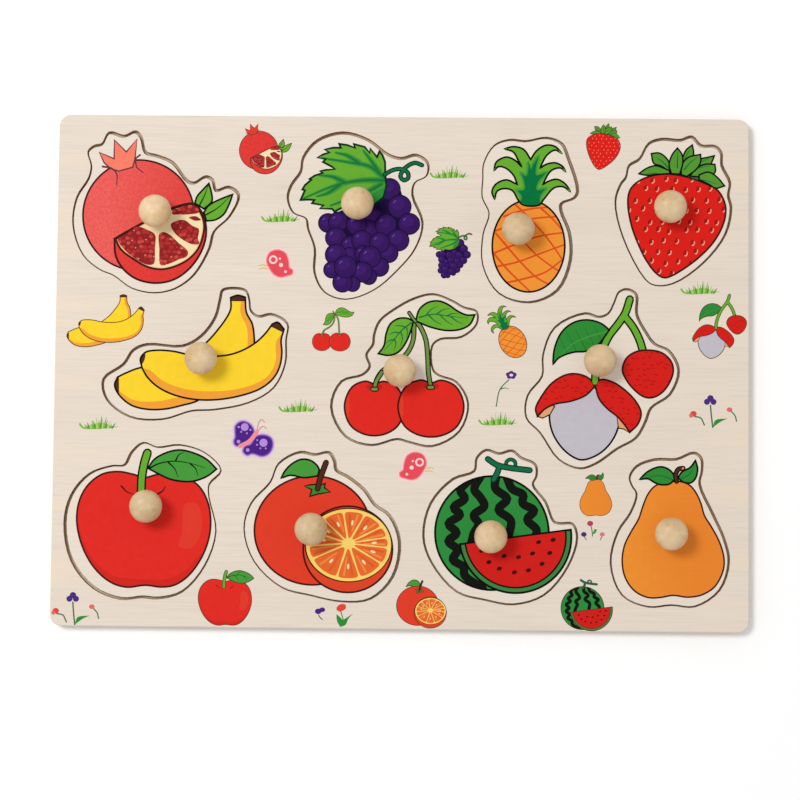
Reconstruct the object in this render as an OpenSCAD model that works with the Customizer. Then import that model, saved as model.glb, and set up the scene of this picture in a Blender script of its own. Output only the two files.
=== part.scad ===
// Wooden fruit peg puzzle: a glued two-sheet board with eleven lift-out fruit pieces.
// X runs along the board, Y across it, Z up from the underside. The origin is under the board's middle.

/* [Board] */
// Width of the board
board_w = 300; // [280:1:400]
// Depth of the board
board_d = 222; // [212:1:300]
// Radius of the board's corners
corner_r = 5; // [1:0.5:12]
// Thickness of the face sheet, which the fruit pieces are cut from
face_t = 3; // [2:0.5:8]
// Thickness of the backing sheet
backing_t = 3; // [2:0.5:8]
// Distance from each long edge to the line of the row of fruit beside it
row_inset = 41; // [38:0.5:44]
// Distance from row to row that fruits of the widths below need
row_room = 70; // [66:0.5:74]
// Least wood between the cuts of a row, and between a cut and the board's edge
web = 2.5; // [2:0.5:5]

/* [Fruit pieces] */
// Width of the pomegranate's cut
pomegranate_w = 72; // [60:0.5:80]
// Width of the cut round the grapes
grapes_w = 61; // [50:0.5:68]
// Width of the pineapple's cut
pineapple_w = 41.5; // [34:0.5:46]
// Width of the strawberry's cut
strawberry_w = 50; // [40:0.5:56]
// Width of the cut round the bananas
banana_w = 80; // [66:0.5:86]
// Width of the cut round the cherries
cherries_w = 63; // [52:0.5:68]
// Width of the cut round the lychees
lychee_w = 66; // [54:0.5:72]
// Width of the apple's cut
apple_w = 67; // [56:0.5:72]
// Width of the orange's cut
orange_w = 67; // [56:0.5:72]
// Width of the watermelon's cut
watermelon_w = 66; // [54:0.5:71]
// Width of the pear's cut
pear_w = 50.5; // [42:0.5:56]
// Gap all round between a centred piece and its cut-out
fit_gap = 0.8; // [0.5:0.1:2]
// Gap left on the side that a piece lies towards
rest_gap = 0.3; // [0.2:0.05:0.5]

/* [Pegs] */
// Height of a peg above its piece
peg_h = 17; // [14:0.5:26]
// Diameter of the ball head
head_d = 14; // [11:0.5:18]
// Diameter of the flat on the crown of the head
crown_d = 6; // [2:0.5:8]
// Diameter of the neck
neck_d = 7; // [5:0.5:9]
// Diameter of the foot
foot_d = 10; // [9.5:0.5:14]
// Thickness of the rim of the foot
foot_t = 1; // [0.5:0.25:2]
// Diameter of the tenon
tenon_d = 6; // [4:0.5:8]
// Glue line round the tenon
glue_gap = 0.05; // [0.02:0.01:0.15]
// How far the tenon stops short of the underside of its piece
tenon_short = 0.3; // [0.1:0.1:1]

/* [Hidden] */

board_wood = "#E6D9CB";
backing_wood = "#DCCDB5";
peg_wood = "#D6B891";

// Facets of a full circle
$fn = 64;
// Straight steps between two points of a cut line
steps = 4;

face_top = backing_t + face_t;
// How far a piece can slide off centre towards one side
play = fit_gap - rest_gap;

// Cut lines: points on the path of the cut, clockwise, in millimetres from the fruit's peg
pomegranate_line = [
    [-30.5, 15.5], [-29.5, 21], [-31, 27], [-28.5, 29.5], [-25, 30.5], [-22, 35.5], [-15.5, 34],
    [-10.5, 36], [-8, 33.5], [-6, 27], [-1, 25.5], [6, 22.5], [12.5, 14.5], [15.5, 13.7], [20.5, 16.5],
    [23.5, 15], [25, 10.5], [30.5, 12], [35, 8.5], [31, -1], [24.5, -7.5], [22.5, -15], [16, -26.5],
    [8, -32.5], [-1, -34.5], [-11, -32.5], [-19, -27], [-25, -24.5], [-32.5, -18], [-37, -5], [-35.5, 7]
];
grapes_line = [
    [-30.5, 3.5], [-29, 9], [-25, 15], [-24, 21], [-18, 28.5], [-7, 32], [4, 29], [13, 22.5],
    [18.5, 21], [25, 22.5], [30, 19], [29.5, 13.5], [24.5, 10.5], [23.5, 5], [28, -7], [25, -18],
    [17, -28], [7, -36.5], [-5, -40.5], [-14, -37.5], [-18.5, -29], [-18.5, -18.5], [-21.5, -10],
    [-22.5, -5.5], [-28, -3]
];
pineapple_line = [
    [-15, 29.5], [-10.5, 37.5], [-4, 40], [3, 39.5], [12, 41], [18.5, 38.5], [21.5, 32], [25.5, 18],
    [24, 15], [18.5, 12.5], [18.5, 9], [22, 0], [22.5, -12], [17, -25], [5, -30.3], [-8, -26.5],
    [-15, -14.5], [-15, -1], [-12.5, 8], [-15.5, 15], [-15.3, 23]
];
strawberry_line = [
    [-22.8, 3.5], [-20.5, 11], [-18.3, 14], [-17, 19], [-12.5, 22], [-8.5, 28.7], [-3, 30.7],
    [5, 30.3], [10, 31.8], [14, 28], [20, 27.7], [22.7, 25], [23, 19.5], [26.5, 12], [25.8, 6.5],
    [27, 1], [24.5, -10.5], [15, -23], [2, -32], [-6, -32.7], [-10, -30], [-19.5, -12]
];
banana_line = [
    [7, 26.5], [8, 30.2], [13, 31.1], [18, 30], [19.5, 26], [20.2, 21.5], [23.5, 19], [29, 20],
    [36, 16], [35.5, 9], [35.3, -1], [30.5, -11.5], [20, -18], [5, -21.2], [-4.5, -21.8], [-17, -25.5],
    [-31, -24.5], [-41, -17], [-42.5, -8.5], [-34, -2], [-30, 4], [-24, 6.6], [-9, 6], [-1, 10.3],
    [5, 18.5]
];
cherries_line = [
    [-11.3, 16], [-9, 22], [-3, 27], [6, 32], [14, 33.8], [22, 31], [27, 28.2], [32.5, 26.5],
    [32.5, 21], [26, 15.5], [17, 14.5], [13.6, 11.5], [14, 1.5], [16.5, -1], [24, -3.8], [29.2, -13],
    [25.5, -25], [14, -31.4], [4, -29.7], [-1, -28.5], [-12, -31.2], [-23, -27.5], [-29.3, -15],
    [-25, -4], [-16, -1], [-13, 2.5], [-14.5, 7.5], [-11.7, 12]
];
lychee_line = [
    [6.5, 26], [8.5, 30.5], [12, 31.8], [16, 29.5], [16.2, 21], [20, 13.5], [24, 8.2], [30, 5.3],
    [34.3, -3], [30.5, -13.5], [22.5, -19.3], [20, -25.5], [16, -32.3], [8, -37], [-1, -43.4],
    [-8, -45.6], [-17, -41.8], [-25, -30.5], [-31, -24], [-30.5, -14.5], [-24.3, -6], [-24, 3],
    [-19, 15], [-6, 21.2], [0, 19.7], [4, 21.3]
];
apple_line = [
    [-35.7, -7], [-33, 5], [-25.5, 14], [-16, 17.5], [-10.5, 18], [-7.5, 23.5], [-2.5, 27.6],
    [3.5, 25.7], [13, 26.8], [24, 23.5], [31, 16], [26, 10], [26, 4.5], [29.2, -10], [24.5, -25],
    [15, -36], [5, -38.8], [-2, -38.4], [-11, -39.2], [-23, -34.5], [-32.5, -23]
];
orange_line = [
    [-29.5, 0], [-26.5, 11], [-18.5, 20], [-15, 28], [-6, 33], [0.5, 32], [6.5, 33], [9, 29.5],
    [9.8, 25.5], [15, 22.5], [22, 17], [26.5, 10.8], [33, 6], [37.3, -5], [34.5, -20], [25, -29.5],
    [13, -30.8], [-1, -28.2], [-13, -25], [-25, -14]
];
watermelon_line = [
    [-28.5, 0], [-25.5, 14], [-16, 24.5], [-7, 28], [-6, 33.5], [-2, 37], [3.5, 35.5], [9, 36.8],
    [13, 33.8], [19, 31], [19.5, 26], [18, 22.5], [23.5, 15], [27, 6.8], [29.5, 6], [35, 5.8],
    [37, 0], [33, -12.5], [23, -24.5], [10, -28.6], [-2, -26.8], [-14, -23.5], [-25, -11]
];
pear_line = [
    [-17, 24], [-14, 28.8], [-6, 31.8], [3, 32], [10.5, 34.8], [13.7, 32.5], [14, 27], [13, 21.5],
    [18.5, 9], [23.5, -2], [25.5, -12], [21.5, -24], [11, -31], [1, -30.5], [-9, -31.3], [-20, -26.5],
    [-25, -13], [-22, 0.5], [-16.5, 9], [-14, 17], [-16, 20.5]
];

// A fruit: its cut line, its width, the height of its peg over the row's line,
// and the way it lies in its cut-out, where a length of 1 takes up all the play
pomegranate = [pomegranate_line, pomegranate_w, -2.5, [-0.5, -0.8]];
grapes = [grapes_line, grapes_w, 1.5, [0.1, -0.9]];
pineapple = [pineapple_line, pineapple_w, -9, [-0.9, -0.1]];
strawberry = [strawberry_line, strawberry_w, 1, [-0.4, -0.8]];
banana = [banana_line, banana_w, 4, [0.4, -0.4]];
cherries = [cherries_line, cherries_w, -0.5, [0.2, 0]];
lychee = [lychee_line, lychee_w, 4.5, [-0.5, -0.2]];
apple = [apple_line, apple_w, 10.5, [0.8, 0.5]];
orange = [orange_line, orange_w, 1.5, [-0.8, -0.4]];
watermelon = [watermelon_line, watermelon_w, -1, [0, -0.3]];
pear = [pear_line, pear_w, 1, [-0.3, -0.5]];

top_row = [pomegranate, grapes, pineapple, strawberry];
middle_row = [banana, cherries, lychee];
bottom_row = [apple, orange, watermelon, pear];
// Shares of a row's spare width, from the left edge through the gaps to the right edge
top_gaps = [6.5, 21.5, 23, 16.5, 8];
middle_gaps = [21, 19, 20.5, 30.5];
bottom_gaps = [6, 10, 10.5, 14.5, 9];

function total(list, i = 0) = i < len(list) ? list[i] + total(list, i + 1) : 0;

// A smooth closed curve through the points of a loop
function knot(a, b) = sqrt(norm(b - a));
function slope(a, b, c) =
    let (ab = knot(a, b), bc = knot(b, c))
    (b - a) / ab - (c - a) / (ab + bc) + (c - b) / bc;
function on_span(a, b, c, d, u) =
    let (k = knot(b, c))
    b * (2 * u^3 - 3 * u^2 + 1) + c * (3 * u^2 - 2 * u^3)
    + k * slope(a, b, c) * (u^3 - 2 * u^2 + u) + k * slope(b, c, d) * (u^3 - u^2);
function smooth(p) =
    let (n = len(p))
    [for (i = [0:n - 1], s = [0:steps - 1])
        on_span(p[(i + n - 1) % n], p[i], p[(i + 1) % n], p[(i + 2) % n], s / steps)];

// A clockwise loop moved outwards, each point along its own normal
function grown(p, by) =
    let (n = len(p))
    [for (i = [0:n - 1])
        let (along = p[(i + 1) % n] - p[(i + n - 1) % n])
        p[i] + by * [-along.y, along.x] / norm(along)];
function moved(p, by) = [for (q = p) q + by];

function left_end(p) = min([for (q = p) q.x]);
function width(p) = max([for (q = p) q.x]) - left_end(p);
// How much larger a fruit of its full width is than its line is drawn
function full_scale(fruit) = fruit[1] / width(smooth(fruit[0]));

// Room for the fruits, over the room they need at full size: along a row, and from a row to its edge
function row_fit(row, gaps) =
    (board_w - web * total(gaps) / min(gaps)) / total([for (fruit = row) fruit[1]]);
function reach(fruit, way) =
    full_scale(fruit) * max([for (q = smooth(fruit[0])) way * (q.y + fruit[2])]);
function edge_fit(row, way) = (row_inset - web) / max([for (fruit = row) reach(fruit, way)]);

outer_row_y = board_d / 2 - row_inset;
// Fruits have their full widths on a board with room for them, and shrink together with a smaller one
fruit_size = min(
    1, outer_row_y / row_room, edge_fit(top_row, 1), edge_fit(bottom_row, -1),
    row_fit(top_row, top_gaps), row_fit(middle_row, middle_gaps), row_fit(bottom_row, bottom_gaps));

function cut_w(fruit) = fruit[1] * fruit_size;
function cut_scale(fruit) = full_scale(fruit) * fruit_size;
function cut_line(fruit) = smooth(fruit[0]) * cut_scale(fruit);

// Places of a row's pegs: the width that the fruits leave is shared among the gaps
function row_places(row, gaps, row_y) =
    let (spare = board_w - total([for (fruit = row) cut_w(fruit)]))
    [for (i = [0:len(row) - 1])
        let (gaps_before = spare * total([for (j = [0:i]) gaps[j]]) / total(gaps),
             fruits_before = total([for (j = [0:1:i - 1]) cut_w(row[j])]))
        [gaps_before + fruits_before - board_w / 2 - left_end(cut_line(row[i])),
         row_y + row[i][2] * cut_scale(row[i])]];

top_at = row_places(top_row, top_gaps, outer_row_y);
middle_at = row_places(middle_row, middle_gaps, 0);
bottom_at = row_places(bottom_row, bottom_gaps, -outer_row_y);
fruits = concat(top_row, middle_row, bottom_row);
places = concat(top_at, middle_at, bottom_at);

// The board's outline, with round corners
module board_outline() {
    square([board_w - 2 * corner_r, board_d], center = true);
    square([board_w, board_d - 2 * corner_r], center = true);
    for (x = [-1, 1], y = [-1, 1])
        translate([x * (board_w / 2 - corner_r), y * (board_d / 2 - corner_r)])
            circle(corner_r);
}

// A cut-out stands off its own piece, which lies a little to one side in it
module cut_out(fruit, place) {
    polygon(moved(grown(cut_line(fruit), fit_gap / 2), place - play * fruit[3]));
}

// A fruit piece with the bore for its peg
module fruit_piece(fruit, place) {
    translate([place.x, place.y, backing_t])
        linear_extrude(face_t)
            difference() {
                polygon(grown(cut_line(fruit), -fit_gap / 2));
                circle(d = tenon_d + 2 * glue_gap);
            }
}

// A turned peg: ball head with a flat crown, neck, foot with a cove, and tenon
module turned_peg(place) {
    head_z = peg_h - sqrt(head_d^2 - crown_d^2) / 2;
    cove_r = (foot_d - neck_d) / 2;
    tenon_h = face_t - tenon_short;
    translate([place.x, place.y, face_top])
        union() {
            intersection() {
                translate([0, 0, head_z])
                    sphere(d = head_d);
                cylinder(d = 2 * head_d, h = peg_h);
            }
            cylinder(d = neck_d, h = head_z);
            rotate_extrude()
                difference() {
                    square([foot_d / 2, foot_t + cove_r]);
                    translate([foot_d / 2, foot_t + cove_r])
                        circle(cove_r);
                }
            translate([0, 0, -tenon_h])
                cylinder(d = tenon_d, h = tenon_h + foot_t);
        }
}

module top_board() {
    color(board_wood)
        translate([0, 0, backing_t])
            linear_extrude(face_t)
                difference() {
                    board_outline();
                    for (i = [0:len(fruits) - 1])
                        cut_out(fruits[i], places[i]);
                }
}

module backing_board() {
    color(backing_wood)
        linear_extrude(backing_t)
            board_outline();
}

module pomegranate_piece() {
    color("#F0443C") fruit_piece(pomegranate, top_at[0]);
}

module grapes_piece() {
    color("#3A1766") fruit_piece(grapes, top_at[1]);
}

module pineapple_piece() {
    color("#F09A2E") fruit_piece(pineapple, top_at[2]);
}

module strawberry_piece() {
    color("#DD2418") fruit_piece(strawberry, top_at[3]);
}

module banana_piece() {
    color("#F9D22D") fruit_piece(banana, middle_at[0]);
}

module cherries_piece() {
    color("#E02B22") fruit_piece(cherries, middle_at[1]);
}

module lychee_piece() {
    color("#C4BDC8") fruit_piece(lychee, middle_at[2]);
}

module apple_piece() {
    color("#E32B23") fruit_piece(apple, bottom_at[0]);
}

module orange_piece() {
    color("#E8452C") fruit_piece(orange, bottom_at[1]);
}

module watermelon_piece() {
    color("#2E9A3A") fruit_piece(watermelon, bottom_at[2]);
}

module pear_piece() {
    color("#E8882D") fruit_piece(pear, bottom_at[3]);
}

module pomegranate_peg() {
    color(peg_wood) turned_peg(top_at[0]);
}

module grapes_peg() {
    color(peg_wood) turned_peg(top_at[1]);
}

module pineapple_peg() {
    color(peg_wood) turned_peg(top_at[2]);
}

module strawberry_peg() {
    color(peg_wood) turned_peg(top_at[3]);
}

module banana_peg() {
    color(peg_wood) turned_peg(middle_at[0]);
}

module cherries_peg() {
    color(peg_wood) turned_peg(middle_at[1]);
}

module lychee_peg() {
    color(peg_wood) turned_peg(middle_at[2]);
}

module apple_peg() {
    color(peg_wood) turned_peg(bottom_at[0]);
}

module orange_peg() {
    color(peg_wood) turned_peg(bottom_at[1]);
}

module watermelon_peg() {
    color(peg_wood) turned_peg(bottom_at[2]);
}

module pear_peg() {
    color(peg_wood) turned_peg(bottom_at[3]);
}

top_board();
backing_board();
pomegranate_piece();
grapes_piece();
pineapple_piece();
strawberry_piece();
banana_piece();
cherries_piece();
lychee_piece();
apple_piece();
orange_piece();
watermelon_piece();
pear_piece();
pomegranate_peg();
grapes_peg();
pineapple_peg();
strawberry_peg();
banana_peg();
cherries_peg();
lychee_peg();
apple_peg();
orange_peg();
watermelon_peg();
pear_peg();
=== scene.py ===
# Looks of the fruit peg puzzle: a printed plywood board, eleven printed pieces and their turned pegs.
# Drawings are in millimetres, about the peg of their fruit or the middle of their motif.
import math
import random

import bmesh
import bpy
import numpy as np
from mathutils import Matrix, Vector
from mathutils.geometry import delaunay_2d_cdt


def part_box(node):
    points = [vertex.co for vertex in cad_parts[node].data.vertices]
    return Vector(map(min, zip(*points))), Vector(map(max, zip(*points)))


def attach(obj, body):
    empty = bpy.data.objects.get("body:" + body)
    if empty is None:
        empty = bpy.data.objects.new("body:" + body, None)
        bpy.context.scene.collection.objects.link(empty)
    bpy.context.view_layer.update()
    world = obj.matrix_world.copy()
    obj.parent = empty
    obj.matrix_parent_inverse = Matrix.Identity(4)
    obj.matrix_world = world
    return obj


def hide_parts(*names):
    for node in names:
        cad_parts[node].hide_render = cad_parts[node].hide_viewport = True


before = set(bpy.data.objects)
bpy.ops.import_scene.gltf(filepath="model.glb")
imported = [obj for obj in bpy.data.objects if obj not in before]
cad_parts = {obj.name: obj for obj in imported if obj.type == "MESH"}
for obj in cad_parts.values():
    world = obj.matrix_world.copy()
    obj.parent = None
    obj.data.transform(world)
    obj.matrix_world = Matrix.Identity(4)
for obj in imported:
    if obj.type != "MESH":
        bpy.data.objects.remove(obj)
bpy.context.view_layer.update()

MM = 0.001
# How bright the light makes a white level surface
LIGHT_GAIN = 1.06
# Width of the drawn outlines
LINE = 0.8
# Ink lies this far over the wood, and is this thick
INK_GAP = 0.006
INK_T = 0.03
# Thickness of a sheet, as in its solid
SHEET_T = 3.0
# Rounding of the board's rim and of the sawn edges
RIM_ROUND = 0.5
CUT_ROUND = 0.12
# The middle of a rounded edge lies this share of the rounding in from both of its faces
ROUND_SHARE = 0.3
# Corners sharper than this stay sharp in the shading, in degrees
CREASE = 35
# The peg, with the sizes of its solid
PEG_H = 17.0
HEAD_R = 7.0
CROWN_R = 3.0
NECK_R = 3.5
FOOT_R = 5.0
FOOT_T = 1.0
TENON_R = 3.0
TENON_H = 2.7
PEG_SIDES = 72
COVE_STEPS = 6
HEAD_STEPS = 24
# Softened edges of the peg: end of the tenon, lower and upper rim of the foot
TENON_EASE = 0.3
FOOT_LOW_EASE = 0.1
FOOT_TOP_EASE = 0.15
# The crown rounds over between these shares of its radius
CROWN_OUTER = 1.35
CROWN_INNER = 0.6
# Points closer than this are one point, in metres for a mesh and in millimetres for a drawing
SAME_POINT = 1e-6
# Heights closer than this are one level, in metres
SAME_LEVEL = 1e-5
# Scattered blobs are off their lattice by up to this share of its step, and turned by up to these degrees
BLOB_SHAKE = 0.25
BLOB_TURN = 20
# The least divisor at a corner of a moved outline, so that sharp corners don't run out into spikes
SPIKE_LIMIT = 0.5


# Smooth lines and outlines
def on_span(a, b, c, d, u):
    """A point between b and c on the smooth curve through four points."""
    def slope(p, q, r):
        pq = math.sqrt((q - p).length)
        qr = math.sqrt((r - q).length)
        return (q - p) / pq - (r - p) / (pq + qr) + (r - q) / qr

    k = math.sqrt((c - b).length)
    ends = b * (2 * u**3 - 3 * u**2 + 1) + c * (3 * u**2 - 2 * u**3)
    return ends + k * (slope(a, b, c) * (u**3 - 2 * u**2 + u) + slope(b, c, d) * (u**3 - u**2))


def smooth(points, closed=False, steps=5):
    """Points along a smooth curve through the given ones."""
    p = [Vector(q) for q in points]
    if len(p) == 2:
        return p
    if closed:
        p = [p[-1]] + p + p[:2]
    else:
        p = [2 * p[0] - p[1]] + p + [2 * p[-1] - p[-2]]
    line = [on_span(*p[i:i + 4], s / steps) for i in range(len(p) - 3) for s in range(steps)]
    return line if closed else line + [p[-2]]


def round_loop(*points):
    return smooth(points, closed=True)


def corner_loop(*runs):
    """A closed outline of smooth runs; the last point of each run is a corner."""
    start = runs[-1][-1]
    line = []
    for run in runs:
        line += smooth([start] + list(run))[:-1]
        start = run[-1]
    return line


def polygon(*points):
    return [Vector(p) for p in points]


def rotation(degrees):
    return Matrix.Rotation(math.radians(degrees), 2)


def ring_angles(sides):
    return [2 * math.pi * k / sides for k in range(sides)]


def ellipse(x, y, rx, ry=None, turn=0.0, sides=40):
    ry = rx if ry is None else ry
    turned = rotation(turn)
    rim = [Vector((rx * math.cos(a), ry * math.sin(a))) for a in ring_angles(sides)]
    return [Vector((x, y)) + turned @ p for p in rim]


def ribbon(points, width, end_width=None):
    """The outline of a stroke along a smooth line, with round ends."""
    end_width = width if end_width is None else end_width
    line = smooth(points)
    last = len(line) - 1

    def rim(i, angle):
        along = (line[min(i + 1, last)] - line[max(i - 1, 0)]).normalized()
        half = (width + (end_width - width) * i / last) / 2
        return line[i] + half * (rotation(angle) @ along)

    right = [rim(i, -90) for i in range(last + 1)]
    end = [rim(last, angle) for angle in (-45, 0, 45)]
    left = [rim(i, 90) for i in range(last, -1, -1)]
    start = [rim(0, angle) for angle in (135, 180, 225)]
    return right + end + left + start


def grown(line, by):
    """A closed outline moved outwards, or inwards where by is negative."""
    n = len(line)
    area = sum(line[i - 1].cross(line[i]) for i in range(n))
    by = by if area > 0 else -by
    moved = []
    for i in range(n):
        a = (line[i] - line[i - 1]).normalized()
        b = (line[(i + 1) % n] - line[i]).normalized()
        out = Vector((a.y + b.y, -a.x - b.x))
        moved.append(line[i] + out * by / max(out.length_squared / 2, SPIKE_LIMIT))
    return moved


def extent(points):
    """Least and greatest X, then least and greatest Y."""
    xs = [p.x for p in points]
    ys = [p.y for p in points]
    return min(xs), max(xs), min(ys), max(ys)


class Picture:
    """Flat areas of ink, each over the ones before it; a fine one has soft brown outlines."""

    def __init__(self, fine=False):
        self.layers = []
        self.fine = fine

    def fill(self, line, ink, within=None):
        """An area of one ink, which can be kept within an earlier area; gives the number of the area."""
        self.layers.append((line, ink, within))
        return len(self.layers) - 1

    def dot(self, ink, x, y, rx, ry=None, turn=0.0, sides=40, within=None):
        self.fill(ellipse(x, y, rx, ry, turn, sides), ink, within)

    def shape(self, line, ink, width=LINE, line_ink="outline"):
        """An area with an outline; gives the number of the area."""
        self.fill(grown(line, width / 2), "fine" if self.fine else line_ink)
        return self.fill(grown(line, -width / 2), ink)

    def stroke(self, points, width=LINE, ink="outline", end_width=None, within=None):
        self.fill(ribbon(points, width, end_width), ink, within)

    def branch(self, points, width, ink, line_ink="outline", line_width=0.5):
        self.stroke(points, width + 2 * line_width, "fine" if self.fine else line_ink)
        self.stroke(points, width, ink)

    def leaf(self, ink, *runs, veins=(), vein_ink="leaf_dark", vein_width=0.7, width=LINE):
        area = self.shape(corner_loop(*runs), ink, width)
        for vein in veins:
            self.stroke(vein, vein_width, vein_ink, 0.2, area)
        return area

    def scatter(self, area, step, ink_choice, size, flat, seed):
        """Blobs on a shaken lattice, kept within one area."""
        shake = random.Random(seed)
        x0, x1, y0, y1 = extent(self.layers[area][0])
        for row in range(int((y1 - y0) / step) + 1):
            for column in range(int((x1 - x0) / step) + 1):
                x = x0 + step * (column + 0.5 * (row % 2)) + shake.uniform(-BLOB_SHAKE, BLOB_SHAKE) * step
                y = y0 + step * row + shake.uniform(-BLOB_SHAKE, BLOB_SHAKE) * step
                blob = ellipse(x, y, size, size * flat, shake.uniform(-BLOB_TURN, BLOB_TURN), 10)
                self.fill(blob, shake.choice(ink_choice), area)


def covers(line, spots):
    """Which of the spots lie inside a closed outline."""
    a = np.array([tuple(p) for p in line])
    b = np.roll(a, -1, axis=0)
    x, y = spots[:, :1], spots[:, 1:]
    side = (b[:, 0] - a[:, 0]) * (y - a[:, 1]) - (x - a[:, 0]) * (b[:, 1] - a[:, 1])
    up = (a[:, 1] <= y) & (b[:, 1] > y) & (side > 0)
    down = (a[:, 1] > y) & (b[:, 1] <= y) & (side < 0)
    return up.sum(1) != down.sum(1)


def triangles(lines):
    """Triangles that keep to every line, and the middle of each."""
    points, edges = [], []
    for line in lines:
        first = len(points)
        edges += [(first + i, first + (i + 1) % len(line)) for i in range(len(line))]
        points += line
    spots, _, faces, origins, _, _ = delaunay_2d_cdt(points, edges, [], 0, SAME_POINT)
    middles = np.array([tuple((spots[a] + spots[b] + spots[c]) / 3) for a, b, c in faces])
    return spots, faces, origins, middles


# Materials
def tone(code, times=1.0):
    """A colour as it looks under the studio light, as the linear colour of the surface."""
    channels = [int(code[i:i + 2], 16) / 255 for i in (1, 3, 5)]
    linear = [c / 12.92 if c <= 0.04045 else ((c + 0.055) / 1.055) ** 2.4 for c in channels]
    return (*[min(c * times / LIGHT_GAIN, 1.0) for c in linear], 1.0)


class Look:
    """A node material under construction; scales are in waves per metre along X, Y and Z."""

    def __init__(self, name, roughness, specular):
        self.material = bpy.data.materials.new(name)
        self.material.use_nodes = True
        self.tree = self.material.node_tree
        self.shader = self.tree.nodes["Principled BSDF"]
        self.put(self.shader, "Roughness", roughness)
        self.put(self.shader, "Specular IOR Level", specular)

    def put(self, node, socket, value):
        if isinstance(value, bpy.types.NodeSocket):
            self.tree.links.new(value, node.inputs[socket])
        else:
            node.inputs[socket].default_value = value

    def node(self, kind, inputs, **settings):
        made = self.tree.nodes.new(kind)
        for key, value in settings.items():
            setattr(made, key, value)
        for key, value in inputs.items():
            self.put(made, key, value)
        return made

    def place(self, scale=(1, 1, 1), shift=(0, 0, 0)):
        spot = self.node("ShaderNodeTexCoord", {}).outputs["Object"]
        inputs = {"Vector": spot, "Scale": scale, "Location": shift}
        return self.node("ShaderNodeMapping", inputs).outputs["Vector"]

    def along(self, axis):
        return self.node("ShaderNodeSeparateXYZ", {0: self.place()}).outputs[axis]

    def noise(self, scale, detail=3.0, shift=(0, 0, 0)):
        inputs = {"Vector": self.place(scale, shift), "Scale": 1.0, "Detail": detail}
        return self.node("ShaderNodeTexNoise", inputs).outputs["Fac"]

    def math(self, operation, first, second=0.0):
        return self.node("ShaderNodeMath", {0: first, 1: second}, operation=operation).outputs[0]

    def between(self, value, low, high, to_low=0.0, to_high=1.0):
        inputs = {"Value": value, "From Min": low, "From Max": high, "To Min": to_low, "To Max": to_high}
        return self.node("ShaderNodeMapRange", inputs).outputs["Result"]

    def mix(self, share, first, second):
        inputs = {0: share, 6: first, 7: second}
        return self.node("ShaderNodeMix", inputs, data_type="RGBA").outputs[2]

    def over(self, first, second, pattern, low, high, most=1.0):
        """The first colour, turning to the second where the pattern goes from low to high."""
        return self.mix(self.between(pattern, low, high, 0.0, most), first, second)

    def colour(self, value):
        self.put(self.shader, "Base Color", value)

    def bump(self, height, strength, depth):
        inputs = {"Height": height, "Strength": strength, "Distance": depth * MM}
        self.put(self.shader, "Normal", self.node("ShaderNodeBump", inputs).outputs["Normal"])


def face_wood(name, code, streak_code, end_code):
    """Pale printed veneer: fine fibres along X, soft bands, warmer streaks towards the two ends."""
    look = Look(name, 0.5, 0.2)
    fibre = look.noise((50, 1900, 300), 4.0)
    band = look.noise((5, 90, 60), 2.0, (3, 7, 0))
    colour = look.over(tone(code, 1.02), tone(code, 0.97), band, 0.3, 0.7)
    colour = look.over(colour, tone(streak_code), fibre, 0.45, 0.85)
    near_end = look.between(look.math("ABSOLUTE", look.along("X")), 0.11, 0.15)
    warm = look.between(look.noise((9, 150, 60), 2.0, (1, 2, 0)), 0.45, 0.72)
    look.colour(look.mix(look.math("MULTIPLY", near_end, warm), colour, tone(end_code)))
    look.put(look.shader, "Roughness", look.between(fibre, 0.3, 0.7, 0.46, 0.58))
    look.bump(fibre, 0.15, 0.04)
    return look.material


def sawn_wood(name, dark_code, pale_code):
    """A sawn edge, darkened in places, with streaks down it."""
    look = Look(name, 0.75, 0.1)
    streak = look.noise((900, 900, 60), 3.0)
    patch = look.noise((70, 70, 70), 2.0)
    colour = look.over(tone(dark_code), tone(pale_code), streak, 0.3, 0.7)
    look.colour(look.over(colour, tone(pale_code, 1.15), patch, 0.4, 0.75))
    look.bump(streak, 0.3, 0.05)
    return look.material


def ply_edge(name):
    """The rim of the sheets: three plies each, the middle one on end."""
    look = Look(name, 0.65, 0.2)
    phase = look.math("FRACT", look.math("MULTIPLY", look.along("Z"), 1 / (SHEET_T * MM)))
    off_middle = look.math("ABSOLUTE", look.math("SUBTRACT", phase, 0.5))
    fibre = look.noise((60, 60, 2500), 3.0)
    pores = look.noise((1800, 1800, 1800), 2.0)
    along = look.over(tone("#E9D9C2"), tone("#D3BB98"), fibre, 0.35, 0.7)
    on_end = look.over(tone("#C9AE8A"), tone("#A98862"), pores, 0.4, 0.65)
    colour = look.over(on_end, along, off_middle, 0.15, 0.19)
    look.colour(look.over(colour, tone("#B59A78"), off_middle, 0.45, 0.49))
    look.bump(pores, 0.3, 0.08)
    return look.material


def plain_ply(name):
    """The unprinted backing sheet, seen underneath and on the floor of the cut-outs."""
    look = Look(name, 0.65, 0.2)
    fibre = look.noise((30, 900, 300), 4.0)
    figure = look.noise((5, 60, 30), 3.0, (4, 1, 0))
    colour = look.over(tone("#E6D6BD"), tone("#D2B993"), figure, 0.35, 0.68)
    look.colour(look.over(colour, tone("#BE9F76"), fibre, 0.52, 0.8))
    look.bump(fibre, 0.35, 0.08)
    return look.material


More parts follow.
